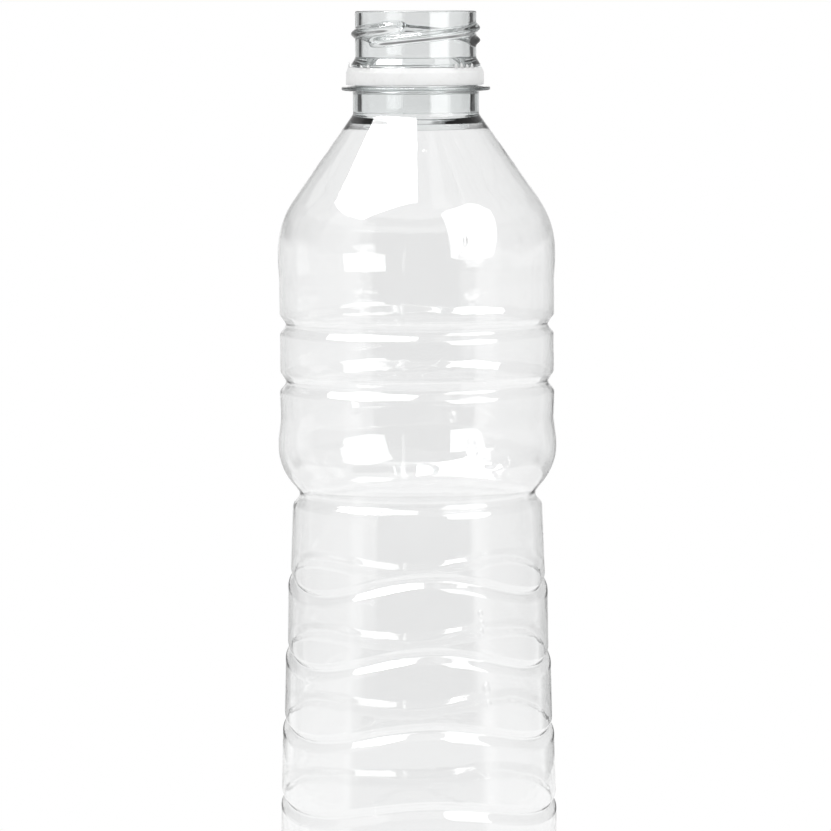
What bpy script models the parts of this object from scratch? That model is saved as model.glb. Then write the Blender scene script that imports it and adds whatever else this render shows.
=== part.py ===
"""A clear half-litre water bottle without its cap, and the tamper band left behind on its neck.

Metres, +Z up. The origin is the middle of the foot, on the surface that the bottle stands on, and the
bottle's front faces -Y. The bottle is one blown shell, open at the mouth: an outer skin from the rim
down to the middle of the base, and an inner skin from there back up to the rim. The tamper band is a
loose ring on the neck, held between the bead above it and the support ring below it.
"""

import math

import bmesh
import bpy
from mathutils import Matrix

MM = 0.001
SEGMENTS = 36  # round the axis; the first one faces the front

# The bottle as a whole. What lies above the foot is measured down from the rim.
HEIGHT = 221 * MM
BODY_WALL = 0.3 * MM

# Neck finish: the rim, the bead and the support ring
BORE_RADIUS = 12.05 * MM
BORE_BOTTOM = HEIGHT - 24.2 * MM
BORE_FLARE = HEIGHT - 25.7 * MM
BORE_FLARE_RADIUS = 15.0 * MM
FINISH_RADIUS = 13.4 * MM
RIM_EDGE = 0.25 * MM
BEAD_RADIUS = 14.3 * MM
BEAD_TOP = HEIGHT - 10.3 * MM
BEAD_EDGE = HEIGHT - 11.7 * MM
BEAD_BOTTOM = HEIGHT - 12.0 * MM
SUPPORT_RADIUS = 16.5 * MM
SUPPORT_TOP = HEIGHT - 16.6 * MM
SUPPORT_BOTTOM = HEIGHT - 17.8 * MM
SUPPORT_BEVEL = 0.15 * MM
NECK_RADIUS = 13.95 * MM
NECK_BOTTOM = HEIGHT - 22.3 * MM

# Thread for the cap: equal ridges that start a third of a turn apart and rise to the right
THREAD_RADIUS = 14.28 * MM
THREAD_START_ANGLES = (-51, 69, 189)  # degrees from the front
THREAD_ARC = 160  # degrees
THREAD_START = HEIGHT - 7.0 * MM
THREAD_LEAD = 8.5 * MM
THREAD_WIDTH = 1.7 * MM

# Shoulder: a straight cone that ends in an arc
CONE_TOP = HEIGHT - 23.0 * MM
CONE_TOP_RADIUS = 14.17 * MM
CONE_ANGLE = 35.2  # degrees from upright
THIN_FROM = HEIGHT - 32 * MM  # the neck's thick wall tapers to the body's above here
SHOULDER_RADIUS = 30.75 * MM
SHOULDER_BOTTOM = HEIGHT - 53.0 * MM
SHOULDER_ARC = 20.5 * MM

# Upper body: two straight grooves, then the round step in to the waist
CREASE_TOP = HEIGHT - 55.3 * MM
CREASE_BOTTOM = HEIGHT - 59.3 * MM
UPPER_RADIUS = 30.45 * MM
STRAIGHT_GROOVE_TOPS = (HEIGHT - 67.0 * MM, HEIGHT - 79.7 * MM)
STRAIGHT_GROOVE_WIDTH = 4.1 * MM
STRAIGHT_GROOVE_DEPTH = 1.25 * MM
PINCH = HEIGHT - 89.9 * MM
PINCH_RADIUS = 30.3 * MM
BULGE = HEIGHT - 94.8 * MM
BULGE_RADIUS = 30.9 * MM
WAIST_TOP = HEIGHT - 96.2 * MM
WAIST_ARC = 12.5 * MM
WAIST_ARC_END = 43  # degrees
WAIST = HEIGHT - 106.8 * MM
WAIST_RADIUS = 26.35 * MM
WAIST_CURVE = 1.2 * MM  # how far above and below the waist its curve runs
WAIST_RISE = 0.45 * MM

# Lower body: panels that flare a little and grow wider downwards, parted by grooves that wave up and
# down round the body. Each panel has its radius at the top and at the bottom.
PANEL_TOP = HEIGHT - 109.7 * MM
PANEL_LIP = 2.0 * MM
PANEL_LIP_ARC = 42  # degrees
PANELS = (
    (27.8 * MM, 28.33 * MM),
    (28.93 * MM, 29.1 * MM),
    (29.6 * MM, 29.9 * MM),
    (30.32 * MM, 30.7 * MM),
    (30.8 * MM, 30.8 * MM),
    (30.8 * MM, 30.6 * MM),
)
WAVE_GROOVE_TOPS = (
    HEIGHT - 123.9 * MM,
    HEIGHT - 140.2 * MM,
    HEIGHT - 156.3 * MM,
    HEIGHT - 173.2 * MM,
    HEIGHT - 190.3 * MM,
)
WAVE_GROOVE_WIDTH = 3.6 * MM
WAVE_GROOVE_DEPTH = 0.8 * MM
WAVE_HEIGHTS = (2.5 * MM, 2.5 * MM, 2.2 * MM, 1.8 * MM, 1.5 * MM)
WAVES = 3  # round the body
WAVE_TURN = math.radians(5.5)  # a crest lies this far from the front

# Base: the heel, the flat foot ring and the dome pushed up inside it
HEEL_ARC = 9 * MM
FOOT_INNER_RADIUS = 18.8 * MM
DOME_EDGE = 1.4 * MM
DOME_EDGE_RADIUS = 17.4 * MM
DOME_HEIGHT = 7.5 * MM

# Tamper band, with the stubs of the bridges that held it to the cap
BAND_BORE_RADIUS = 14.0 * MM
BAND_RADIUS = 15.25 * MM
BAND_TOP_RADIUS = 14.85 * MM
BAND_TOP = HEIGHT - 12.4 * MM
BAND_SHOULDER = HEIGHT - 13.5 * MM
BAND_BOTTOM = HEIGHT - 16.25 * MM
STUB_ANGLES = (-53, -44, 38, 45, 52, 59, 112, 150, 196, 238, 274)  # degrees from the front
STUB_RADIUS = 14.76 * MM
STUB_SIZE = (0.7 * MM, 0.26 * MM, 0.9 * MM)

# Dents: degrees from the front, height, half width, depth
DENTS = (
    (38, HEIGHT - 92.5 * MM, 9 * MM, 0.6 * MM),
    (-34, HEIGHT - 91.5 * MM, 9 * MM, 0.45 * MM),
    (50, HEIGHT - 50 * MM, 6.5 * MM, 0.3 * MM),
    (172, HEIGHT - 97 * MM, 6 * MM, 0.25 * MM),
)

COLOURS = {
    "clear_plastic": ((0.92, 0.95, 0.95, 1), 0.06),
    "white_plastic": ((0.86, 0.87, 0.87, 1), 0.4),
}


def clear_scene():
    for thing in list(bpy.data.objects):
        bpy.data.objects.remove(thing)


def material(name):
    colour, roughness = COLOURS[name]
    made = bpy.data.materials.new(name)
    made.use_nodes = True
    shader = made.node_tree.nodes["Principled BSDF"]
    shader.inputs["Base Color"].default_value = colour
    shader.inputs["Roughness"].default_value = roughness
    shader.inputs["Metallic"].default_value = 0
    if name == "clear_plastic":
        shader.inputs["Transmission Weight"].default_value = 1
        shader.inputs["IOR"].default_value = 1.57
    return made


def make_object(name, mesh, material_name):
    made = bpy.data.objects.new(name, mesh)
    bpy.context.scene.collection.objects.link(made)
    mesh.materials.append(material(material_name))
    mesh.shade_smooth()
    mesh.set_sharp_from_angle(angle=math.radians(35))
    return made


def point(angle, radius, height):
    """A point at this angle from the front, turning towards +X."""
    return (radius * math.sin(angle), -radius * math.cos(angle), height)


# An outline is a list of (height, radius, wave) stations, where wave says how far the station's height
# rises and falls round the body.


def arc(centre_height, centre_radius, size, start, end, steps):
    """Stations on an arc, from start to end degrees above the outward direction."""
    stations = []
    for step in range(steps + 1):
        turn = math.radians(start + (end - start) * step / steps)
        stations.append((centre_height + size * math.sin(turn), centre_radius + size * math.cos(turn), 0))
    return stations


def groove(top, width, depth, radius_above, radius_below, wave=0):
    """A groove with a flat floor, whose lower side is the longer one."""
    floor = radius_above - depth
    return [
        (top, radius_above, wave),
        (top - 0.38 * width, floor, wave),
        (top - 0.52 * width, floor, wave),
        (top - 1.04 * width, radius_below, wave),
    ]


def finish_outline():
    """The outside of the neck, from the rim down to the cone."""
    return [
        (HEIGHT, FINISH_RADIUS - RIM_EDGE, 0),
        (HEIGHT - RIM_EDGE, FINISH_RADIUS, 0),
        (BEAD_TOP, FINISH_RADIUS, 0),
        (BEAD_EDGE, BEAD_RADIUS, 0),
        (BEAD_BOTTOM, BEAD_RADIUS, 0),
        (BEAD_BOTTOM - RIM_EDGE, FINISH_RADIUS, 0),
        (SUPPORT_TOP, FINISH_RADIUS, 0),
        (SUPPORT_TOP - SUPPORT_BEVEL, SUPPORT_RADIUS, 0),
        (SUPPORT_BOTTOM + SUPPORT_BEVEL, SUPPORT_RADIUS, 0),
        (SUPPORT_BOTTOM, NECK_RADIUS, 0),
        (NECK_BOTTOM, NECK_RADIUS, 0),
        (CONE_TOP, CONE_TOP_RADIUS, 0),
    ]


def shoulder_outline():
    fallen = CONE_TOP - THIN_FROM
    cone = [(THIN_FROM, CONE_TOP_RADIUS + fallen * math.tan(math.radians(CONE_ANGLE)), 0)]
    return cone + arc(SHOULDER_BOTTOM, SHOULDER_RADIUS - SHOULDER_ARC, SHOULDER_ARC, CONE_ANGLE, 0, 5)


def upper_body_outline():
    stations = [(CREASE_TOP, SHOULDER_RADIUS, 0), (CREASE_BOTTOM, UPPER_RADIUS, 0)]
    for top in STRAIGHT_GROOVE_TOPS:
        stations += groove(top, STRAIGHT_GROOVE_WIDTH, STRAIGHT_GROOVE_DEPTH, UPPER_RADIUS, UPPER_RADIUS)
    stations += [(PINCH, PINCH_RADIUS, 0), (BULGE, BULGE_RADIUS, 0)]
    stations += arc(WAIST_TOP, BULGE_RADIUS - WAIST_ARC, WAIST_ARC, 0, -WAIST_ARC_END, 4)
    stations += [
        (WAIST + WAIST_CURVE, WAIST_RADIUS + WAIST_RISE, 0),
        (WAIST, WAIST_RADIUS, 0),
        (WAIST - WAIST_CURVE, WAIST_RADIUS + WAIST_RISE, 0),
    ]
    return stations


def lower_body_outline():
    stations = arc(PANEL_TOP, PANELS[0][0] - PANEL_LIP, PANEL_LIP, PANEL_LIP_ARC, 0, 2)
    for number, (top, wave) in enumerate(zip(WAVE_GROOVE_TOPS, WAVE_HEIGHTS)):
        above = PANELS[number][1]
        below = PANELS[number + 1][0]
        stations += groove(top, WAVE_GROOVE_WIDTH, WAVE_GROOVE_DEPTH, above, below, wave)
    return stations


def base_outline():
    body = PANELS[-1][1]
    stations = arc(HEEL_ARC, body - HEEL_ARC, HEEL_ARC, 0, -90, 4)
    stations += [(0, FOOT_INNER_RADIUS, 0), (DOME_EDGE, DOME_EDGE_RADIUS, 0)]
    rise = DOME_HEIGHT - DOME_EDGE
    for share in (0.7, 0.35):
        stations.append((DOME_EDGE + rise * (1 - share**2), DOME_EDGE_RADIUS * share, 0))
    return stations


def inner_of(outline):
    """The stations moved in by the body's wall, each square to the outline there."""
    moved = []
    for number, (height, radius, wave) in enumerate(outline):
        above = outline[max(number - 1, 0)]
        below = outline[min(number + 1, len(outline) - 1)]
        run = (below[0] - above[0], below[1] - above[1])
        length = math.hypot(*run)
        moved.append((height - BODY_WALL * run[1] / length, radius + BODY_WALL * run[0] / length, wave))
    return moved


def wave_at(angle):
    """How far up, from -1 to 1, a groove has waved at this angle."""
    return math.cos(WAVES * (angle - WAVE_TURN))


def dent_at(angle, height):
    """How far the skin is pushed in at this angle and height."""
    pushed = 0
    for dent_angle, dent_height, half_width, depth in DENTS:
        across = SHOULDER_RADIUS * abs((angle - math.radians(dent_angle) + math.pi) % math.tau - math.pi)
        away = math.hypot(across, height - dent_height) / half_width
        if away < 1:
            pushed += depth * (1 - away * away) ** 2
    return pushed


def ring_of_points(mesh, station):
    height, radius, wave = station
    ring = []
    for number in range(SEGMENTS):
        angle = math.tau * number / SEGMENTS
        raised = height + wave * wave_at(angle)
        ring.append(mesh.verts.new(point(angle, radius - dent_at(angle, raised), raised)))
    return ring


def bridge(mesh, first, second):
    """Faces between two rings, facing out when first lies above second on an outside."""
    for number in range(len(first)):
        following = (number + 1) % len(first)
        mesh.faces.new((first[number], second[number], second[following], first[following]))


def close_centre(mesh, ring, height):
    centre = mesh.verts.new((0, 0, height))
    for number in range(len(ring)):
        mesh.faces.new((ring[number], centre, ring[(number + 1) % len(ring)]))


def shell_mesh():
    """The bottle's outer and inner skin, joined across the rim."""
    shell = shoulder_outline() + upper_body_outline() + lower_body_outline() + base_outline()
    outside = finish_outline() + shell
    inside = [
        (HEIGHT, BORE_RADIUS + RIM_EDGE, 0),
        (HEIGHT - RIM_EDGE, BORE_RADIUS, 0),
        (BORE_BOTTOM, BORE_RADIUS, 0),
        (BORE_FLARE, BORE_FLARE_RADIUS, 0),
    ] + inner_of(shell)
    mesh = bmesh.new()
    outer_rings = [ring_of_points(mesh, station) for station in outside]
    inner_rings = [ring_of_points(mesh, station) for station in inside]
    for above, below in zip(outer_rings, outer_rings[1:]):
        bridge(mesh, above, below)
    for above, below in zip(inner_rings, inner_rings[1:]):
        bridge(mesh, below, above)
    bridge(mesh, inner_rings[0], outer_rings[0])
    close_centre(mesh, outer_rings[-1], DOME_HEIGHT)
    close_centre(mesh, list(reversed(inner_rings[-1])), DOME_HEIGHT + BODY_WALL)
    data = bpy.data.meshes.new("bottle")
    mesh.to_mesh(data)
    mesh.free()
    return data


def add_ridge(mesh, start_angle):
    """A ridge of the thread, wound up round the neck from this angle and tapered at both ends."""
    steps = round(THREAD_ARC * SEGMENTS / 360)
    root = FINISH_RADIUS - 0.4 * MM
    sunk_crest = FINISH_RADIUS - 0.2 * MM
    sections = []
    for step in range(steps + 1):
        angle = math.radians(start_angle) + math.tau * step / SEGMENTS
        height = THREAD_START + THREAD_LEAD * step / SEGMENTS
        grown = min(step, steps - step, 2) / 2
        crest = sunk_crest + (THREAD_RADIUS - sunk_crest) * grown
        section = (
            (root, 0.6 * THREAD_WIDTH),
            (crest, 0.2 * THREAD_WIDTH),
            (crest, -0.2 * THREAD_WIDTH),
            (root, -0.6 * THREAD_WIDTH),
        )
        sections.append([mesh.verts.new(point(angle, radius, height + up)) for radius, up in section])
    for first, second in zip(sections, sections[1:]):
        for corner in range(4):
            after = (corner + 1) % 4
            mesh.faces.new((first[corner], first[after], second[after], second[corner]))
    mesh.faces.new(list(reversed(sections[0])))
    mesh.faces.new(sections[-1])


def thread_mesh():
    mesh = bmesh.new()
    for start_angle in THREAD_START_ANGLES:
        add_ridge(mesh, start_angle)
    bmesh.ops.recalc_face_normals(mesh, faces=mesh.faces)
    data = bpy.data.meshes.new("thread_guide")
    mesh.to_mesh(data)
    mesh.free()
    return data


def join_guide(target, name, mesh):
    """Merges a guide's solid into the target."""
    guide = bpy.data.objects.new(name, mesh)
    bpy.context.scene.collection.objects.link(guide)
    guide.hide_render = True
    guide.display_type = "WIRE"
    union = target.modifiers.new(name, "BOOLEAN")
    union.operation = "UNION"
    union.solver = "EXACT"
    union.object = guide


def make_bottle():
    bottle = make_object("bottle", shell_mesh(), "clear_plastic")
    join_guide(bottle, "thread_guide", thread_mesh())
    return bottle


def stub_mesh():
    """What is left of the bridges: small blocks that stand on the band's top edge."""
    mesh = bmesh.new()
    for degrees in STUB_ANGLES:
        turn = Matrix.Rotation(math.radians(degrees), 4, "Z")
        place = Matrix.Translation((0, -STUB_RADIUS, BAND_TOP + 0.2 * STUB_SIZE[2]))
        bmesh.ops.create_cube(mesh, size=1, matrix=turn @ place @ Matrix.Diagonal((*STUB_SIZE, 1)))
    data = bpy.data.meshes.new("stub_guide")
    mesh.to_mesh(data)
    mesh.free()
    return data


def make_tamper_ring():
    outline = (
        (BAND_TOP, BAND_BORE_RADIUS + 0.2 * MM, 0),
        (BAND_TOP, BAND_TOP_RADIUS, 0),
        (BAND_SHOULDER, BAND_RADIUS, 0),
        (BAND_BOTTOM, BAND_RADIUS, 0),
        (BAND_BOTTOM, BAND_BORE_RADIUS + 0.3 * MM, 0),
        (BAND_BOTTOM + 1.4 * MM, BAND_BORE_RADIUS, 0),
    )
    mesh = bmesh.new()
    rings = [ring_of_points(mesh, station) for station in outline]
    for number, ring in enumerate(rings):
        bridge(mesh, ring, rings[(number + 1) % len(rings)])
    data = bpy.data.meshes.new("tamper_ring")
    mesh.to_mesh(data)
    mesh.free()
    ring = make_object("tamper_ring", data, "white_plastic")
    join_guide(ring, "stub_guide", stub_mesh())
    return ring


clear_scene()
make_bottle()
make_tamper_ring()
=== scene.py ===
import math
from typing import NamedTuple

import bmesh
import bpy
import numpy as np
from mathutils import Matrix, Vector


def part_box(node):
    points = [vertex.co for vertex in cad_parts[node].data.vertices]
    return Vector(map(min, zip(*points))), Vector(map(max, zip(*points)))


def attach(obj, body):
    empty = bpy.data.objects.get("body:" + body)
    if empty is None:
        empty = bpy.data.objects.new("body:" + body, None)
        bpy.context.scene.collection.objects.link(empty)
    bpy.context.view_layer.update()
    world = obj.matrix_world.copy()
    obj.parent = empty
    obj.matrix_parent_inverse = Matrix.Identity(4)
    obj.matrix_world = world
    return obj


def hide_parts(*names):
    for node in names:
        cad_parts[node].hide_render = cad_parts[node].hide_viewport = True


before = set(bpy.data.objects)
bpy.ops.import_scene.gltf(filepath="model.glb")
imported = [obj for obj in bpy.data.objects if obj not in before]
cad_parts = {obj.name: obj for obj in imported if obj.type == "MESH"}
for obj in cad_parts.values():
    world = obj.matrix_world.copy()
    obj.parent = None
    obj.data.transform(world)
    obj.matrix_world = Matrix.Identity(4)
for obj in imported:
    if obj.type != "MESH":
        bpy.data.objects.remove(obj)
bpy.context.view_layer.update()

# An empty half-litre bottle of clear plastic without its cap, and the tamper band left on its neck. Outlines
# are written in millimetres below the rim and from the axis. Angles are degrees from the front, and grow to
# the right.

MM = 0.001
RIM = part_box("bottle")[1].z
BOTTLE_FOOT = RIM / MM  # millimetres below the rim
BAND_FOOT = (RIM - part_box("tamper_ring")[0].z) / MM  # millimetres below the rim

# Rings of points round the axis
SEGMENTS = 120
ROW = np.arange(SEGMENTS)
AFTER = (ROW + 1) % SEGMENTS  # the next point round the ring
ANGLES = ROW * 360 / SEGMENTS

# Walls. Depths are below the rim.
BODY_WALL = 0.15 * MM
NECK_WALL = 1.0 * MM  # of the cone, where the neck ends
WALL_THINS_OVER = (24 * MM, 26 * MM)  # from the one wall to the other
BORE_END = 25.2 * MM  # where the inside of the neck meets the inside of the body
GROOVES_OVER = (62 * MM, 205 * MM)
GROOVE_EVENNESS = 0.2  # 1 where the slopes of the grooves are as thick as the rest of the wall
WELD = 0.02 * MM  # points closer than this are joined, as the two ends on the axis are

# Steps along an outline. Depths are below the rim.
ROUNDING_TURN = 14  # degrees a step round a corner
ROUNDING_STEP = 1.2 * MM
ROUNDING_WAY = 1.7  # the way round a corner, against how far it reaches to either side
ROUNDING_ROOM = 0.98  # of a straight part that its two corners may use up
LONG_STEP = 4 * MM
SHORT_STEP = 0.3 * MM  # beside a rounded corner
SHORT_STEPS_IN = 5 * SHORT_STEP  # the least length that takes short steps at its ends
THREAD_STEP = 0.16 * MM  # down to THREAD_END
THREAD_END = 9 * MM
THINNING_STEP = 0.5 * MM  # down to THINNING_END
THINNING_END = 26.5 * MM
BAND_STEP = 0.6 * MM
NO_LENGTH = 1e-9  # keeps a division from being by 0
ROUND_OFF = 1e-6  # keeps rounding errors from adding a step

# Thread: three starts a third of a turn apart, each rising to the right along its arc
THREAD_STARTS = (-51, 69, 189)
THREAD_ARC = 161
THREAD_DEPTHS = (7.0, 3.2)  # of the ridge's middle at either end of the arc, in millimetres below the rim
THREAD_TAPER = 24  # degrees over which each end fades out
THREAD_FLAT = 0.1 * MM  # half of the ridge's level top
THREAD_FOOT = 1.25 * MM  # half of the ridge's whole width
THREAD_HEIGHT = 0.88 * MM

# Wavy grooves
WAVES = 3  # round the bottle
WAVE_TURN = 5.5  # the angle of the first crest

# Tamper band
BAND_TOP = 12.4  # millimetres below the rim
BAND_SHIFT = np.array([-0.2 * MM, 0, 0])  # it hangs loose

# Torn bridges on the band's top edge, in millimetres
STUB_ANGLES = (-53, -44, 38, 45, 52, 59, 112, 150, 196, 238, 274)
STUB_RADIUS = 14.56  # from the axis
STUB_ROOT = (0.25, 0.42, 0.2)  # how deep it starts in the band, half width, half thickness
STUB_END = (0.24, 0.11)  # half width, half thickness
STUB_HEIGHT = 0.55  # of the shortest
STUB_TALLER = 0.07  # a step of the uneven heights
STUB_LEAN = 0.05  # a step of the uneven leans
STUB_SLANT = 0.5  # how far the end falls for each millimetre to the right

# Dents: angle, below the rim, half width, half height, depth in millimetres
DENTS = (
    (38, 92.5, 9, 9, 0.6),
    (-34, 91.5, 9, 9, 0.45),
    (50, 50, 6, 7, 0.3),
    (23, 95.5, 4.5, 3.5, 0.3),
    (31, 93, 3, 3, 0.25),
    (15, 86.8, 2, 2, 0.15),
    (172, 97, 5, 5, 0.25),
)
DENT_RADIUS = 30.5  # from the axis, where a dent's width is measured
DENTS_BEYOND = 20 * MM  # from the axis, which leaves out the neck and the base

# Small dimples: angle, below the rim, from the axis, half width, half height, depth in millimetres
DIMPLES = (
    (20.4, 45.6, 29.7, 1.3, 1.0, 0.05),
    (20.2, 49.2, 30.3, 0.8, 2.3, 0.14),
    (19.0, 52.2, 30.6, 1.6, 1.2, 0.05),
    (46.5, 50.0, 30.4, 2.4, 3.0, 0.07),
    (-27, 85.5, 30.5, 2.0, 2.0, 0.08),
    (14.5, 87.2, 30.5, 1.4, 1.8, 0.10),
    (5.6, 30.2, 19.2, 0.6, 2.6, 0.03),
    (20, 125, 28.2, 2.0, 1.2, 0.08),
    (28, 130.5, 29.0, 0.9, 1.2, 0.06),
    (28.6, 132.6, 29.0, 0.8, 1.0, 0.05),
    (28.2, 134.6, 29.1, 0.9, 1.3, 0.06),
    (30, 147, 29.7, 1.4, 2.2, 0.08),
    (31, 150.5, 29.7, 1.1, 1.6, 0.07),
    (22.5, 93.6, 30.9, 2.0, 2.6, 0.12),
    (31, 97.5, 30.4, 2.6, 1.8, 0.12),
)

# The mould's parting line, down the back
SEAM_LEFT = 3 * MM  # how far it is to the left of the middle, seen from the front
SEAM_HALF_WIDTH = 0.4 * MM
SEAM_HEIGHT = 0.05 * MM

# Slight waves of the wall: noise scale, height against width, noise detail, how far they stand out
WALL_WAVES = (
    (60, 1, 1, 0.09 * MM),
    (190, 1, 2, 0.022 * MM),
    (45, 0.15, 1, 0.01 * MM),
)

# ---------------------------------------------------------------- outlines


def corner(depth, radius, rounding=0.0, wave=0.0):
    """A corner of an outline, from millimetres below the rim and from the axis."""
    return np.array([depth, radius, rounding, wave]) * MM


def arc_corners(depth, radius, size, end, steps):
    """Corners along an arc that starts upright at this depth and radius and turns in by end degrees."""
    found = []
    for step in range(steps + 1):
        turn = math.radians(end * step / steps)
        found.append(corner(depth + size * math.sin(turn), radius - size * (1 - math.cos(turn))))
    return found


def rim_corner():
    """Where the outside and the inside of the bottle meet, on the flat of the rim."""
    return corner(0, 12.9)


def finish_corners():
    """The outside of the neck: rim, thread wall, bead, support ring and lower neck."""
    return [
        corner(0, 13.4, 0.4),
        corner(10.3, 13.4, 0.4),
        corner(11.7, 14.3, 0.35),
        corner(12.2, 14.3, 0.15),
        corner(12.3, 13.45, 0.3),
        corner(16.45, 13.45, 0.3),
        corner(16.7, 16.45, 0.32),
        corner(17.45, 16.45, 0.32),
        corner(17.75, 13.95, 0.5),
    ]


def bore_corners():
    """The inside of the neck, which opens out under it with a small step."""
    return [
        rim_corner(),
        corner(0, 12.05, 0.4),
        corner(24.2, 12.05, 0.2),
        corner(24.7, 15.0, 0.2),
        corner(25.4, 15.5),
    ]


def shoulder_corners():
    """The cone under the neck and the turn into the upright body."""
    return [
        corner(22.7, 13.95, 1.2),
        corner(46.5, 30.75, 20.5),
        corner(55.3, 30.73, 1.5),
        corner(59.3, 30.46, 1.0),
    ]


def upper_body_corners():
    """The upper body with its two round grooves, and the waist below it."""
    return [
        corner(67.0, 30.47, 1.3),
        corner(69.2, 28.85, 1.1),
        corner(71.1, 30.38, 1.3),
        corner(79.7, 30.36, 1.3),
        corner(81.9, 28.9, 1.1),
        corner(83.9, 30.5, 1.3),
        corner(89.9, 30.3, 8),
        corner(94.8, 30.9, 4),
        *arc_corners(96.2, 30.9, 12.5, 43, 8),
        corner(106.8, 25.75, 1.8),
        corner(109.0, 27.75, 2.0),
    ]


def panel_corners():
    """The lower body: panels that flare a little between wavy grooves, each a step wider than the last."""
    panels = ((27.85, 28.33), (28.93, 29.1), (29.6, 29.9), (30.32, 30.7), (30.8, 30.8), (30.8, 30.8))
    grooves = ((123.9, 2.5), (140.2, 2.5), (156.3, 2.2), (173.2, 1.8), (190.3, 1.5))
    found = []
    for number, (top, wave) in enumerate(grooves):
        above, below = panels[number][1], panels[number + 1][0]
        found += [
            corner(top, above, 1.2, wave),
            corner(top + 1.35, above - 0.85, 1.0, wave),
            corner(top + 1.8, above - 0.85, 1.0, wave),
            corner(top + 3.6, below, 1.3, wave),
        ]
    return found


def base_corners():
    """The foot ring and the domed middle of the base."""
    return [
        corner(BOTTLE_FOOT, 30.6, 9),
        corner(BOTTLE_FOOT, 18.8, 0.5),
        corner(BOTTLE_FOOT - 1.4, 17.4, 0.8),
        corner(BOTTLE_FOOT - 5.6, 9.5, 12),
        corner(BOTTLE_FOOT - 7.3, 1.6, 0.6),
        corner(BOTTLE_FOOT - 6.9, 1.2, 0.3),
        corner(BOTTLE_FOOT - 6.9, 0.0),
    ]


def rounded(corners):
    """The outline's points (depth, radius, wave), with each corner rounded by its own radius."""
    runs = [b - a for a, b in zip(corners, corners[1:])]
    lengths = [np.hypot(*run[:2]) for run in runs]
    turns = [0.0]
    for (one, two), (first, second) in zip(zip(runs, runs[1:]), zip(lengths, lengths[1:])):
        turns.append(math.acos(np.clip(one[:2] @ two[:2] / (first * second), -1, 1)))
    turns.append(0.0)
    wanted = [here[2] * math.tan(turn / 2) for here, turn in zip(corners, turns)]
    room = []
    for number, length in enumerate(lengths):
        both = max(wanted[number] + wanted[number + 1], NO_LENGTH)
        room.append(min(1, ROUNDING_ROOM * length / both))
    points = []
    for number, here in enumerate(corners):
        if wanted[number] == 0:
            points.append(here[[0, 1, 3]])
            continue
        reach = wanted[number] * min(room[number - 1], room[number])
        by_turn = math.ceil(math.degrees(turns[number]) / ROUNDING_TURN)
        by_length = math.ceil(ROUNDING_WAY * reach / ROUNDING_STEP)
        start = here - runs[number - 1] * reach / lengths[number - 1]
        end = here + runs[number] * reach / lengths[number]
        for share in np.linspace(0, 1, max(2, by_turn, by_length) + 1):
            bend = (1 - share) ** 2 * start + 2 * share * (1 - share) * here + share**2 * end
            points.append(bend[[0, 1, 3]])
    return np.array(points)


def refined(points, step, fine_step=0.0, fine_end=0.0):
    """The same outline with no step longer than step, or than fine_step down to the depth fine_end, and with
    short steps at the ends of its straight parts."""
    out = [points[0]]
    for a, b in zip(points, points[1:]):
        run = np.hypot(*(b - a)[:2])
        longest = fine_step if a[0] < fine_end else step
        stops = [1.0]
        if run > SHORT_STEPS_IN and longest > SHORT_STEP:
            stops = [SHORT_STEP / run, 1 - SHORT_STEP / run, 1.0]
        reached = 0.0
        for stop in stops:
            count = max(1, math.ceil((stop - reached) * run / longest - ROUND_OFF))
            for number in range(1, count + 1):
                out.append(a + (b - a) * (reached + (stop - reached) * number / count))
            reached = stop
    return np.array(out)


def wall_at(depth):
    """How thick the wall under the neck is. It thins to the body's wall down the top of the cone."""
    share = np.clip((WALL_THINS_OVER[1] - depth) / (WALL_THINS_OVER[1] - WALL_THINS_OVER[0]), 0, 1)
    return BODY_WALL + (NECK_WALL - BODY_WALL) * share**2


def inset(points):
    """The outline moved in by the wall, and by less of it on the slopes of the grooves."""
    along = np.gradient(points[:, :2], axis=0)
    along /= np.hypot(along[:, 0], along[:, 1])[:, None]
    wall = wall_at(points[:, 0])
    moved = points.copy()
    grooved = (points[:, 0] > GROOVES_OVER[0]) & (points[:, 0] < GROOVES_OVER[1])
    moved[:, 0] += wall * along[:, 1] * np.where(grooved, GROOVE_EVENNESS, 1.0)
    moved[:, 1] -= wall * along[:, 0]
    moved[:, 1] = np.maximum(moved[:, 1], 0)
    return moved


# ---------------------------------------------------------------- surface detail


def wrapped(degrees):
    """The same angle between -180 and 180."""
    return (degrees + 180) % 360 - 180


def eased(share):
    """From 0 to 1 with a level start and end."""
    return share * share * (3 - 2 * share)


def wave_at(degrees):
    """How far up, from -1 to 1, a groove has waved at each angle."""
    return np.cos(np.radians(WAVES * (degrees - WAVE_TURN)))


def dents_at(degrees, depth):
    """How far the dents push the wall in."""
    pushed = np.zeros_like(depth)
    for angle, below, half_width, half_height, into in DENTS:
        across = np.radians(wrapped(degrees - angle)) * DENT_RADIUS / half_width
        along = (depth / MM - below) / half_height
        away = across**2 + along**2
        pushed += into * MM * np.where(away < 1, (1 - away) ** 2, 0)
    return pushed


def thread_at(degrees, depth):
    """How far the thread stands out."""
    raised = np.zeros_like(depth)
    for start in THREAD_STARTS:
        along = wrapped(degrees - start - THREAD_ARC / 2) + THREAD_ARC / 2
        middle = np.interp(along, (0, THREAD_ARC), THREAD_DEPTHS) * MM
        slope = (np.abs(depth - middle) - THREAD_FLAT) / (THREAD_FOOT - THREAD_FLAT)
        section = 1 - np.clip(slope, 0, 1)
        ends = np.clip(np.minimum(along, THREAD_ARC - along) / THREAD_TAPER, 0, 1)
        raised = np.maximum(raised, THREAD_HEIGHT * eased(section) * eased(ends))
    return raised


# ---------------------------------------------------------------- meshes


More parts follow.
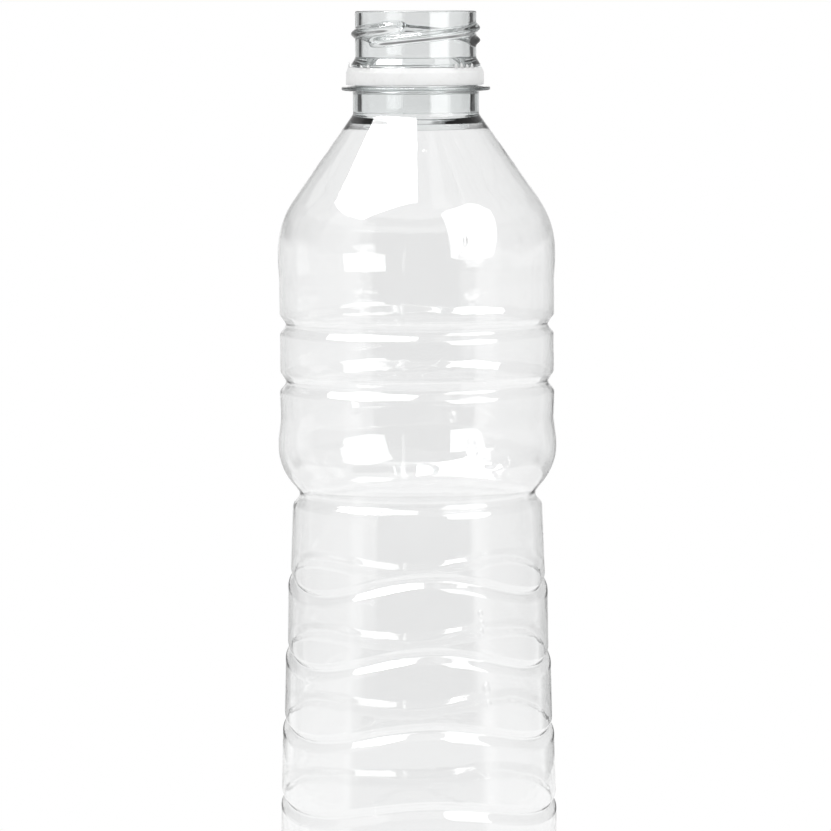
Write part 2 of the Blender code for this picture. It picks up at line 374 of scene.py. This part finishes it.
def lathe_points(outline, detail=None):
    """Points round the axis for each station of the outline, as (station, segment, xyz)."""
    depth = outline[:, :1] - outline[:, 2:] * wave_at(ANGLES)[None, :]
    around = np.broadcast_to(ANGLES, depth.shape)
    radius = outline[:, 1:2] - dents_at(around, depth) * (outline[:, 1:2] > DENTS_BEYOND)
    if detail is not None:
        radius = radius + detail(around, depth)
    turn = np.radians(ANGLES)
    x, y = radius * np.sin(turn), -radius * np.cos(turn)
    return np.stack([x, y, RIM - depth], axis=-1)


def skin_faces(stations, first, flip):
    """Quads between neighbouring rings of points. The first ring starts at the point numbered first."""
    faces = []
    for station in range(stations - 1):
        above = first + station * SEGMENTS
        below = above + SEGMENTS
        quads = np.stack([above + ROW, below + ROW, below + AFTER, above + AFTER], axis=1)
        faces.append(quads[:, ::-1] if flip else quads)
    return np.concatenate(faces)


def mesh_object(name, points, faces):
    """A smooth object from points and faces."""
    mesh = bpy.data.meshes.new(name)
    mesh.from_pydata(points.tolist(), [], [list(map(int, face)) for face in faces])
    mesh.validate()
    mesh.shade_smooth()
    made = bpy.data.objects.new(name, mesh)
    bpy.context.scene.collection.objects.link(made)
    return made


def weld(thing):
    """Joins the points that meet on the axis."""
    mesh = bmesh.new()
    mesh.from_mesh(thing.data)
    bmesh.ops.remove_doubles(mesh, verts=mesh.verts, dist=WELD)
    mesh.to_mesh(thing.data)
    mesh.free()


def make_bottle():
    """The bottle: one closed skin, over its outside and its inside. Its side attribute is 1 outside and -1
    inside, so that relief pushes both surfaces of the wall the same way."""
    body = shoulder_corners() + upper_body_corners() + panel_corners() + base_corners()
    outline = rounded([rim_corner(), *finish_corners(), *body])
    outside = lathe_points(refined(outline, LONG_STEP, THREAD_STEP, THREAD_END), thread_at)
    bore = refined(rounded(bore_corners())[:-1], LONG_STEP)
    shell = rounded([corner(21, 13.95), *body])
    shell = inset(refined(shell, LONG_STEP, THINNING_STEP, THINNING_END))
    inside = lathe_points(np.concatenate([bore, shell[shell[:, 0] > BORE_END]])[1:])
    outer_count, inner_count = len(outside) * SEGMENTS, len(inside) * SEGMENTS
    rim_faces = np.stack([ROW, AFTER, outer_count + AFTER, outer_count + ROW], axis=1)
    outer_faces = skin_faces(len(outside), 0, False)
    inner_faces = skin_faces(len(inside), outer_count, True)
    points = np.concatenate([outside.reshape(-1, 3), inside.reshape(-1, 3)])
    made = mesh_object("clear_bottle", points, [*outer_faces, *inner_faces, *rim_faces])
    side = made.data.attributes.new("side", "FLOAT", "POINT")
    side.data.foreach_set("value", [1.0] * outer_count + [-1.0] * inner_count)
    weld(made)
    return made


def make_band():
    """The tamper band: a ring with a bevelled top and the torn stubs of its bridges."""
    section = [
        corner(BAND_FOOT, 13.98, 0.15),
        corner(BAND_TOP, 13.98, 0.1),
        corner(BAND_TOP, 14.75, 0.15),
        corner(BAND_TOP + 1.1, 15.2, 0.5),
        corner(BAND_FOOT, 15.25, 0.25),
    ]
    middle = (section[0] + section[-1]) / 2
    middle[2] = 0
    points = lathe_points(refined(rounded([middle, *section, middle]), BAND_STEP)[:-1]) + BAND_SHIFT
    last = (len(points) - 1) * SEGMENTS
    closing = np.stack([last + ROW, ROW, AFTER, last + AFTER], axis=1)
    faces = [*skin_faces(len(points), 0, False), *closing]
    points = points.reshape(-1, 3).tolist()
    for number, angle in enumerate(STUB_ANGLES):
        faces += add_stub(points, angle, number)
    return mesh_object("band", np.array(points), faces)


def add_stub(points, angle, number):
    """A torn bridge on the band's top edge: a tapered block with a slanted end. Its number gives it a height
    and a lean that look uneven. Adds its points and returns its faces."""
    first = len(points)
    tall = STUB_HEIGHT + number * 23 % 7 * STUB_TALLER
    leaning = (number * 37 % 11 - 5) * STUB_LEAN
    for depth, half, deep, lean, slant in ((*STUB_ROOT, 0, 0), (-tall, *STUB_END, leaning, STUB_SLANT)):
        for across, inward in ((-half, deep), (half, deep), (half, -deep), (-half, -deep)):
            radius = STUB_RADIUS + inward
            turn = math.radians(angle) + (across + lean) / radius
            x, y = radius * MM * math.sin(turn), -radius * MM * math.cos(turn)
            points.append([x + BAND_SHIFT[0], y, RIM - (BAND_TOP + depth + across * slant) * MM])
    quads = ((0, 3, 2, 1), (4, 5, 6, 7), (0, 1, 5, 4), (1, 2, 6, 5), (2, 3, 7, 6), (3, 0, 4, 7))
    return [tuple(first + i for i in quad) for quad in quads]


# ---------------------------------------------------------------- shader nodes

NOISE_LOW, NOISE_HIGH = 0.3, 0.7  # the part of a noise's range that is spread from low to high
TO_DEGREES = 180 / math.pi


def tree_of(owner):
    """The empty node tree of a material or a world."""
    owner.use_nodes = True
    tree = owner.node_tree
    tree.nodes.clear()
    return tree


def feed(tree, target, value):
    """Gives an input a value, or links another node's output to it."""
    if hasattr(value, "links"):
        tree.links.new(value, target)
    else:
        target.default_value = value


def node(tree, kind, inputs=None, **settings):
    """A new node with these settings and inputs. The inputs go by name or by number."""
    made = tree.nodes.new(kind)
    for name, value in settings.items():
        setattr(made, name, value)
    for socket, value in (inputs or {}).items():
        feed(tree, made.inputs[socket], value)
    return made


def maths(tree, operation, *values):
    """One calculation on values or outputs."""
    return node(tree, "ShaderNodeMath", dict(enumerate(values)), operation=operation).outputs[0]


def plus(tree, first, second):
    return maths(tree, "ADD", first, second)


def minus(tree, first, second):
    return maths(tree, "SUBTRACT", first, second)


def times(tree, first, second):
    return maths(tree, "MULTIPLY", first, second)


def ranged(tree, value, interpolation, **limits):
    """A Map Range node's result. The limits are From_Min, From_Max, To_Min and To_Max."""
    inputs = {"Value": value}
    for name, limit in limits.items():
        inputs[name.replace("_", " ")] = limit
    return node(tree, "ShaderNodeMapRange", inputs, interpolation_type=interpolation).outputs[0]


def object_place(tree):
    """Where each point is, in the object's own space."""
    return node(tree, "ShaderNodeTexCoord").outputs["Object"]


def parts_of(tree, vector):
    """Its x, y and z."""
    return node(tree, "ShaderNodeSeparateXYZ", {0: vector}).outputs


def azimuth_of(tree, x, y):
    """The angle from the front in degrees."""
    return times(tree, maths(tree, "ARCTAN2", x, times(tree, y, -1.0)), TO_DEGREES)


def past(tree, value, edge, soft):
    """0 where value is below the edge and 1 where it is above, with a soft step between."""
    return ranged(tree, value, "SMOOTHSTEP", From_Min=edge - soft, From_Max=edge + soft)


def window(tree, value, low, high, soft):
    """1 where value is between low and high, with soft edges."""
    return minus(tree, past(tree, value, low, soft), past(tree, value, high, soft))


def blended(tree, under, over, share):
    """under where share is 0, over where it is 1."""
    return node(tree, "ShaderNodeMix", {0: share, 2: under, 3: over}, data_type="FLOAT").outputs[0]


def noise(tree, scale, detail, low, high):
    """Cloudy variation from low to high, in the object's own space."""
    inputs = {"Vector": object_place(tree), "Scale": scale, "Detail": detail}
    cloud = node(tree, "ShaderNodeTexNoise", inputs).outputs["Fac"]
    return ranged(tree, cloud, "LINEAR", From_Min=NOISE_LOW, From_Max=NOISE_HIGH, To_Min=low, To_Max=high)


def bumped(tree, height):
    """The normal of a surface that stands out by height in metres."""
    return node(tree, "ShaderNodeBump", {"Strength": 1, "Distance": 1, "Height": height}).outputs[0]


# ---------------------------------------------------------------- materials


def spot_at(degrees, below, radius):
    """A place on the bottle, from its angle and millimetres below the rim and from the axis."""
    turn = math.radians(degrees)
    return (radius * MM * math.sin(turn), -radius * MM * math.cos(turn), RIM - below * MM)


def dimple(tree, where, degrees, below, radius, half_width, half_height, into):
    """How far the surface stands out round one dimple: nothing, or less than nothing inside it."""
    size = (half_width * MM, half_width * MM, half_height * MM)
    inputs = {0: where, 1: spot_at(degrees, below, radius)}
    offset = node(tree, "ShaderNodeVectorMath", inputs, operation="SUBTRACT").outputs[0]
    scaled = node(tree, "ShaderNodeVectorMath", {0: offset, 1: size}, operation="DIVIDE").outputs[0]
    away = node(tree, "ShaderNodeVectorMath", {0: scaled}, operation="LENGTH").outputs["Value"]
    return ranged(tree, away, "SMOOTHERSTEP", To_Min=-into * MM, To_Max=0)


def parting_line(tree, x, y):
    """How far the mould's parting line stands out."""
    away = maths(tree, "ABSOLUTE", plus(tree, x, SEAM_LEFT))
    ridge = ranged(tree, away, "SMOOTHSTEP", From_Max=SEAM_HALF_WIDTH, To_Min=SEAM_HEIGHT, To_Max=0)
    return times(tree, ridge, maths(tree, "GREATER_THAN", y, 0.0))


def relief(tree):
    """How far the surface stands out, in metres: dimples, the mould's parting line and slight waves."""
    where = object_place(tree)
    x, y, _ = parts_of(tree, where)
    total = 0.0
    for values in DIMPLES:
        total = plus(tree, dimple(tree, where, *values), total)
    total = plus(tree, total, parting_line(tree, x, y))
    for scale, tall, detail, height in WALL_WAVES:
        stretched = node(tree, "ShaderNodeMapping", {"Vector": where, "Scale": (1, 1, 1 / tall)}).outputs[0]
        inputs = {"Vector": stretched, "Scale": scale, "Detail": detail}
        waves = node(tree, "ShaderNodeTexNoise", inputs).outputs["Fac"]
        total = maths(tree, "MULTIPLY_ADD", waves, height, total)
    return total


def clear_plastic():
    """Clear, glossy and faintly grey. Its shadow is light, as a clear thing's is."""
    made = bpy.data.materials.new("clear_plastic")
    tree = tree_of(made)
    side = node(tree, "ShaderNodeAttribute", attribute_name="side").outputs["Fac"]
    look = {
        "Base Color": (0.976, 0.977, 0.977, 1),
        "Roughness": 0.0,
        "IOR": 1.57,
        "Transmission Weight": 1,
        "Normal": bumped(tree, times(tree, relief(tree), side)),
    }
    shader = node(tree, "ShaderNodeBsdfPrincipled", look).outputs[0]
    shadow = node(tree, "ShaderNodeBsdfTransparent", {"Color": (0.93, 0.93, 0.93, 1)}).outputs[0]
    is_shadow = node(tree, "ShaderNodeLightPath").outputs["Is Shadow Ray"]
    surface = node(tree, "ShaderNodeMixShader", {0: is_shadow, 1: shader, 2: shadow}).outputs[0]
    tint = {"Color": (0.84, 0.86, 0.86, 1), "Density": 360}
    volume = node(tree, "ShaderNodeVolumeAbsorption", tint).outputs[0]
    node(tree, "ShaderNodeOutputMaterial", {"Surface": surface, "Volume": volume})
    return made


def white_plastic():
    """Satin white, a little uneven, scuffed by the cap and faintly grey in places."""
    made = bpy.data.materials.new("white_plastic")
    tree = tree_of(made)
    broad = noise(tree, scale=260, detail=3, low=0, high=1)
    fine = noise(tree, scale=1500, detail=2, low=0.4, high=1)
    colours = {6: (0.83, 0.835, 0.835, 1), 7: (0.75, 0.75, 0.742, 1)}
    shade = node(tree, "ShaderNodeMix", {0: times(tree, broad, fine), **colours}, data_type="RGBA")
    scuffs = noise(tree, scale=420, detail=2, low=0, high=0.02 * MM)
    grain = noise(tree, scale=3200, detail=3, low=0, high=0.003 * MM)
    look = {
        "Base Color": shade.outputs[2],
        "Subsurface Weight": 0.5,
        "Subsurface Radius": (1, 1, 1),
        "Subsurface Scale": 2 * MM,
        "Specular IOR Level": 0.35,
        "Roughness": noise(tree, scale=700, detail=3, low=0.3, high=0.5),
        "Normal": bumped(tree, plus(tree, scuffs, grain)),
    }
    shader = node(tree, "ShaderNodeBsdfPrincipled", look).outputs[0]
    node(tree, "ShaderNodeOutputMaterial", {"Surface": shader})
    return made


# ---------------------------------------------------------------- studio

# Parts of the room as reflections show it: azimuth from and to, elevation from and to, softness of the edges,
# brightness
STUDIO = (
    (-160, 160, -40, 5, 5, 0.8),  # low down at the sides
    (-38, 50, -30, 33, 3, 0.1),  # the dark front, where the camera stands
    (-38, 24, 33, 42, 3, 0.4),  # the front, higher up
)
STUDIO_LEVEL = 0.36  # brightness of the rest of it
BACKDROP = (158, 6)  # azimuth to either side where the white backdrop begins, softness of its edges
ABOVE_BACKDROP = (25, 4)  # elevation where it ends for light through the wall, softness of that edge
DARK_ROOM = 0.3  # brightness above it
PLAIN_LEVEL = 0.6  # brightness of the room as a light

# The overhead softbox, on a level plane one unit above: its azimuths, and its front and left edges, each as
# the direction across it (to the right and to the front) and how far out it lies
OVERHEAD_AZIMUTHS = (-106, 1.5)
OVERHEAD_FRONT = (0.257, 0.967, 0.394)
OVERHEAD_LEFT = (-1.0, -0.228, 1.114)
OVERHEAD_SOFT = 1.2  # degrees, of the edges at its azimuths
OVERHEAD_EDGE_SOFT = 0.03
OVERHEAD_STRENGTH = 14.0
HORIZON = 0.001  # the least height of a direction, so that nothing is divided by 0

BOW_REACH = 24  # degrees from a softbox's middle
SOFTBOX_POINTS = 25  # along its curve


class Softbox(NamedTuple):
    """A curved softbox or dark card round the bottle, seen in reflections only. Distances and heights are in
    metres and angles in degrees."""

    name: str
    distance: float
    soft: float  # half the width of its soft edges
    start: float  # azimuth of its left edge
    end: float  # azimuth of its right edge
    low: float
    high: float
    weak: float  # strength at the bottom
    strong: float  # strength at the top
    lean: float = 0.0  # how many degrees its right edge leans out, for each metre up
    sag: float = 0.0  # how far its lower edge has risen at BOW_REACH from the middle
    dome: float = 0.0  # how far its upper edge has dropped at BOW_REACH from the middle
    through: float = -0.5  # shown where a ray has passed through more surfaces than this


SOFTBOXES = (
    Softbox("left_softbox", 1.0, 3, -92, -36, 0.14, 1.08, 0.55, 0.8),
    Softbox("right_softbox", 1.0, 0.3, 27.3, 64, 0.098, 1.64, 3.2, 3.2, lean=22, sag=0.08, dome=0.2),
    Softbox("high_right_card", 1.0, 4, 20, 52, 1.66, 2.6, 0.75, 0.75),
    Softbox("left_card", 0.36, 4, -166, -118, 0.16, 0.6, 0.5, 0.6),
    Softbox("low_left_card", 0.36, 4, -168, -138, -0.03, 0.17, 0.45, 0.9),
    Softbox("low_right_card", 0.34, 4, 128, 168, -0.03, 0.07, 0.35, 0.45),
    Softbox("right_neck_card", 0.33, 1.5, 126, 150, 0.177, 0.24, 0.0, 0.0, through=1.5),
    Softbox("left_neck_card", 0.33, 1.5, -147, -126, 0.177, 0.24, 0.0, 0.0, through=1.5),
    Softbox("right_neck_side", 0.34, 4, 68, 128, 0.165, 0.26, 0.25, 0.3),
    Softbox("right_card", 0.35, 4, 124, 166, -0.03, 0.6, 0.6, 0.3),
    Softbox("left_side_card", 0.37, 6, -134, -58, -0.03, 0.135, 0.5, 0.85),
    Softbox("right_side_card", 0.36, 6, 62, 130, -0.03, 0.18, 0.45, 0.55),
    Softbox("front_card", 0.22, 5, -60, 58, -0.02, 0.08, 0.1, 0.1),
)

# Lamps: name, place in metres, power in watts
LAMPS = (("key", (-1.2, -1.6, 1.8), 30), ("fill", (1.4, -1.0, 1.4), 15))
LAMP_SIZE = 1.2
LAMP_TARGET = Vector((0, 0, 0.1))

FLOOR_RADIUS = 0.6
FLOOR_SIDES = 96
FLOOR_FADES_OVER = (0.06, 0.18)  # from the axis, to pure white

# Camera: a metre in front of the bottle and just above its rim
CAMERA_DISTANCE = 1.0
CAMERA_ABOVE_RIM = 4 * MM
CAMERA_ASIDE = -0.4 * MM
CAMERA_AIM = 89.6 * MM  # below the rim
CAMERA_ROLL = -0.25
SENSOR_WIDTH = 36  # millimetres
LENS = 195.8  # millimetres
VIEW_END = 100  # metres

BOUNCES = 24  # enough for light to cross the bottle's walls several times


def only_in_reflections(tree, shader, shown, through):
    """The shader where a shiny surface reflects it, if the ray has passed through more surfaces than through.
    Elsewhere it is nothing at all."""
    path = node(tree, "ShaderNodeLightPath").outputs
    reflected = maths(tree, "GREATER_THAN", path["Glossy Depth"], 0.5)
    reflected = times(tree, reflected, maths(tree, "GREATER_THAN", path["Transmission Depth"], through))
    not_lit = maths(tree, "LESS_THAN", path["Diffuse Depth"], 0.5)
    share = times(tree, times(tree, reflected, not_lit), shown)
    nothing = node(tree, "ShaderNodeBsdfTransparent").outputs[0]
    return node(tree, "ShaderNodeMixShader", {0: share, 1: nothing, 2: shader}).outputs[0]


def softbox_outline(tree, box, azimuth, z):
    """1 inside the softbox's outline and 0 outside it, with soft edges."""
    edge = box.soft * box.distance * math.pi / 180
    aside = times(tree, minus(tree, azimuth, (box.start + box.end) / 2), 1 / BOW_REACH)
    above = minus(tree, z, box.low)
    up = minus(tree, above, times(tree, times(tree, aside, aside), box.sag))
    aside = minus(tree, aside, box.lean * (box.high - box.low) / (4 * BOW_REACH))
    bow = maths(tree, "POWER", maths(tree, "ABSOLUTE", aside), 4.0)
    down = minus(tree, minus(tree, box.high, z), times(tree, bow, box.dome))
    leaned = minus(tree, azimuth, times(tree, above, box.lean))
    shown = times(tree, past(tree, up, edge, edge), past(tree, down, edge, edge))
    shown = times(tree, shown, past(tree, azimuth, box.start + box.soft, box.soft))
    return times(tree, shown, minus(tree, 1.0, past(tree, leaned, box.end - box.soft, box.soft)))


def softbox_material(box):
    """A glow that brightens going up."""
    made = bpy.data.materials.new(box.name)
    tree = tree_of(made)
    x, y, z = parts_of(tree, object_place(tree))
    shown = softbox_outline(tree, box, azimuth_of(tree, x, y), z)
    limits = {"From_Min": box.low, "From_Max": box.high, "To_Min": box.weak, "To_Max": box.strong}
    strength = ranged(tree, z, "SMOOTHSTEP", **limits)
    glow = node(tree, "ShaderNodeEmission", {"Strength": strength}).outputs[0]
    node(tree, "ShaderNodeOutputMaterial", {"Surface": only_in_reflections(tree, glow, shown, box.through)})
    made.cycles.emission_sampling = "NONE"
    return made


def make_softbox(box):
    """The curved sheet that a softbox shines from."""
    end = box.end + box.lean * (box.high - box.low)
    turns = np.radians(np.linspace(box.start, end, SOFTBOX_POINTS))
    x, y = box.distance * np.sin(turns), -box.distance * np.cos(turns)
    points = [(*where, height) for height in (box.low, box.high) for where in zip(x, y)]
    faces = [(i, i + 1, i + 1 + SOFTBOX_POINTS, i + SOFTBOX_POINTS) for i in range(SOFTBOX_POINTS - 1)]
    mesh = bpy.data.meshes.new(box.name)
    mesh.from_pydata(points, [], faces)
    mesh.materials.append(softbox_material(box))
    sheet = bpy.data.objects.new(box.name, mesh)
    bpy.context.scene.collection.objects.link(sheet)
    sheet.visible_camera = False
    sheet.visible_diffuse = False
    sheet.visible_shadow = False


def reflected_level(tree, x, y, z, azimuth, elevation):
    """How bright the studio is in reflections: the room, its white backdrop and the overhead softbox."""
    backdrop = past(tree, maths(tree, "ABSOLUTE", azimuth), *BACKDROP)
    level = blended(tree, STUDIO_LEVEL, 1.0, backdrop)
    for left, right, low, high, soft, strength in STUDIO:
        across = window(tree, azimuth, left, right, soft)
        shown = times(tree, across, window(tree, elevation, low, high, soft))
        level = blended(tree, level, strength, shown)
    upward = maths(tree, "MAXIMUM", z, HORIZON)
    overhead = window(tree, azimuth, *OVERHEAD_AZIMUTHS, OVERHEAD_SOFT)
    for rightward, forward, out_to in (OVERHEAD_FRONT, OVERHEAD_LEFT):
        across = minus(tree, times(tree, x, rightward), times(tree, y, forward))
        beyond = past(tree, maths(tree, "DIVIDE", across, upward), out_to, OVERHEAD_EDGE_SOFT)
        overhead = times(tree, overhead, minus(tree, 1.0, beyond))
    return blended(tree, level, OVERHEAD_STRENGTH, overhead)


def make_world():
    """The studio. Reflections show its parts. The camera sees white, both past the bottle and through it, but
    through it the white ends some way up. Rough surfaces are lit at one plain level."""
    world = bpy.data.worlds.new("studio")
    bpy.context.scene.world = world
    tree = tree_of(world)
    x, y, z = parts_of(tree, node(tree, "ShaderNodeTexCoord").outputs["Generated"])
    azimuth = azimuth_of(tree, x, y)
    elevation = times(tree, maths(tree, "ARCSINE", z), TO_DEGREES)
    level = reflected_level(tree, x, y, z, azimuth, elevation)
    path = node(tree, "ShaderNodeLightPath").outputs
    camera, glossy, transmitted = path["Is Camera Ray"], path["Is Glossy Ray"], path["Is Transmission Ray"]
    straight = maths(tree, "LESS_THAN", path["Glossy Depth"], 0.5)
    direct = maths(tree, "MAXIMUM", camera, times(tree, transmitted, straight))
    above = times(tree, past(tree, elevation, *ABOVE_BACKDROP), transmitted)
    level = blended(tree, level, blended(tree, 1.0, DARK_ROOM, above), direct)
    unlooked = maths(tree, "LESS_THAN", plus(tree, camera, plus(tree, glossy, transmitted)), 0.5)
    lighting = maths(tree, "MAXIMUM", unlooked, maths(tree, "GREATER_THAN", path["Diffuse Depth"], 0.5))
    look = {"Color": (1, 1, 1, 1), "Strength": blended(tree, level, PLAIN_LEVEL, lighting)}
    background = node(tree, "ShaderNodeBackground", look).outputs[0]
    node(tree, "ShaderNodeOutputWorld", {"Surface": background})


def make_lamp(name, place, power):
    """A square lamp, aimed at the bottle, that reflections and the wall don't show."""
    data = bpy.data.lights.new(name, "AREA")
    data.shape = "SQUARE"
    data.size = LAMP_SIZE
    data.energy = power
    lamp = bpy.data.objects.new(name, data)
    bpy.context.scene.collection.objects.link(lamp)
    lamp.location = place
    lamp.rotation_mode = "QUATERNION"
    lamp.rotation_quaternion = (Vector(place) - LAMP_TARGET).to_track_quat("Z", "Y")
    lamp.visible_camera = False
    lamp.visible_glossy = False
    lamp.visible_transmission = False


def floor_material():
    """Pale where the bottle's shadow falls, and pure white further out."""
    made = bpy.data.materials.new("floor")
    tree = tree_of(made)
    near, far = FLOOR_FADES_OVER
    away = node(tree, "ShaderNodeVectorMath", {0: object_place(tree)}, operation="LENGTH").outputs["Value"]
    share = ranged(tree, away, "SMOOTHSTEP", From_Min=near, From_Max=far)
    diffuse = node(tree, "ShaderNodeBsdfDiffuse", {"Color": (0.9, 0.9, 0.9, 1)}).outputs[0]
    white = node(tree, "ShaderNodeEmission", {"Strength": 1}).outputs[0]
    surface = node(tree, "ShaderNodeMixShader", {0: share, 1: diffuse, 2: white}).outputs[0]
    node(tree, "ShaderNodeOutputMaterial", {"Surface": surface})
    return made


def make_floor():
    """A round floor."""
    mesh = bpy.data.meshes.new("floor")
    angles = np.arange(FLOOR_SIDES) * math.tau / FLOOR_SIDES
    ring = [(FLOOR_RADIUS * math.cos(a), FLOOR_RADIUS * math.sin(a), 0) for a in angles]
    mesh.from_pydata(ring, [], [list(range(FLOOR_SIDES))])
    mesh.materials.append(floor_material())
    floor = bpy.data.objects.new("floor", mesh)
    bpy.context.scene.collection.objects.link(floor)


def make_camera():
    """A long lens, aimed down at the middle of the part of the bottle in view."""
    data = bpy.data.cameras.new("camera")
    data.sensor_width = SENSOR_WIDTH
    data.lens = LENS
    data.clip_end = VIEW_END
    camera = bpy.data.objects.new("camera", data)
    bpy.context.scene.collection.objects.link(camera)
    camera.location = (CAMERA_ASIDE, -CAMERA_DISTANCE, RIM + CAMERA_ABOVE_RIM)
    aim = (camera.location - Vector((CAMERA_ASIDE, 0, RIM - CAMERA_AIM))).to_track_quat("Z", "Y")
    roll = Matrix.Rotation(math.radians(CAMERA_ROLL), 4, "Z").to_quaternion()
    camera.rotation_mode = "QUATERNION"
    camera.rotation_quaternion = aim @ roll
    bpy.context.scene.camera = camera


# ---------------------------------------------------------------- build

bottle = make_bottle()
bottle.data.materials.append(clear_plastic())
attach(bottle, "bottle")
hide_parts("bottle")

band = make_band()
band.data.materials.append(white_plastic())
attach(band, "ring")
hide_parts("tamper_ring")

make_floor()
make_world()
for softbox in SOFTBOXES:
    make_softbox(softbox)
for lamp in LAMPS:
    make_lamp(*lamp)
make_camera()
scene = bpy.context.scene
scene.view_settings.view_transform = "Standard"
scene.cycles.max_bounces = BOUNCES
scene.cycles.transmission_bounces = BOUNCES
scene.cycles.transparent_max_bounces = BOUNCES
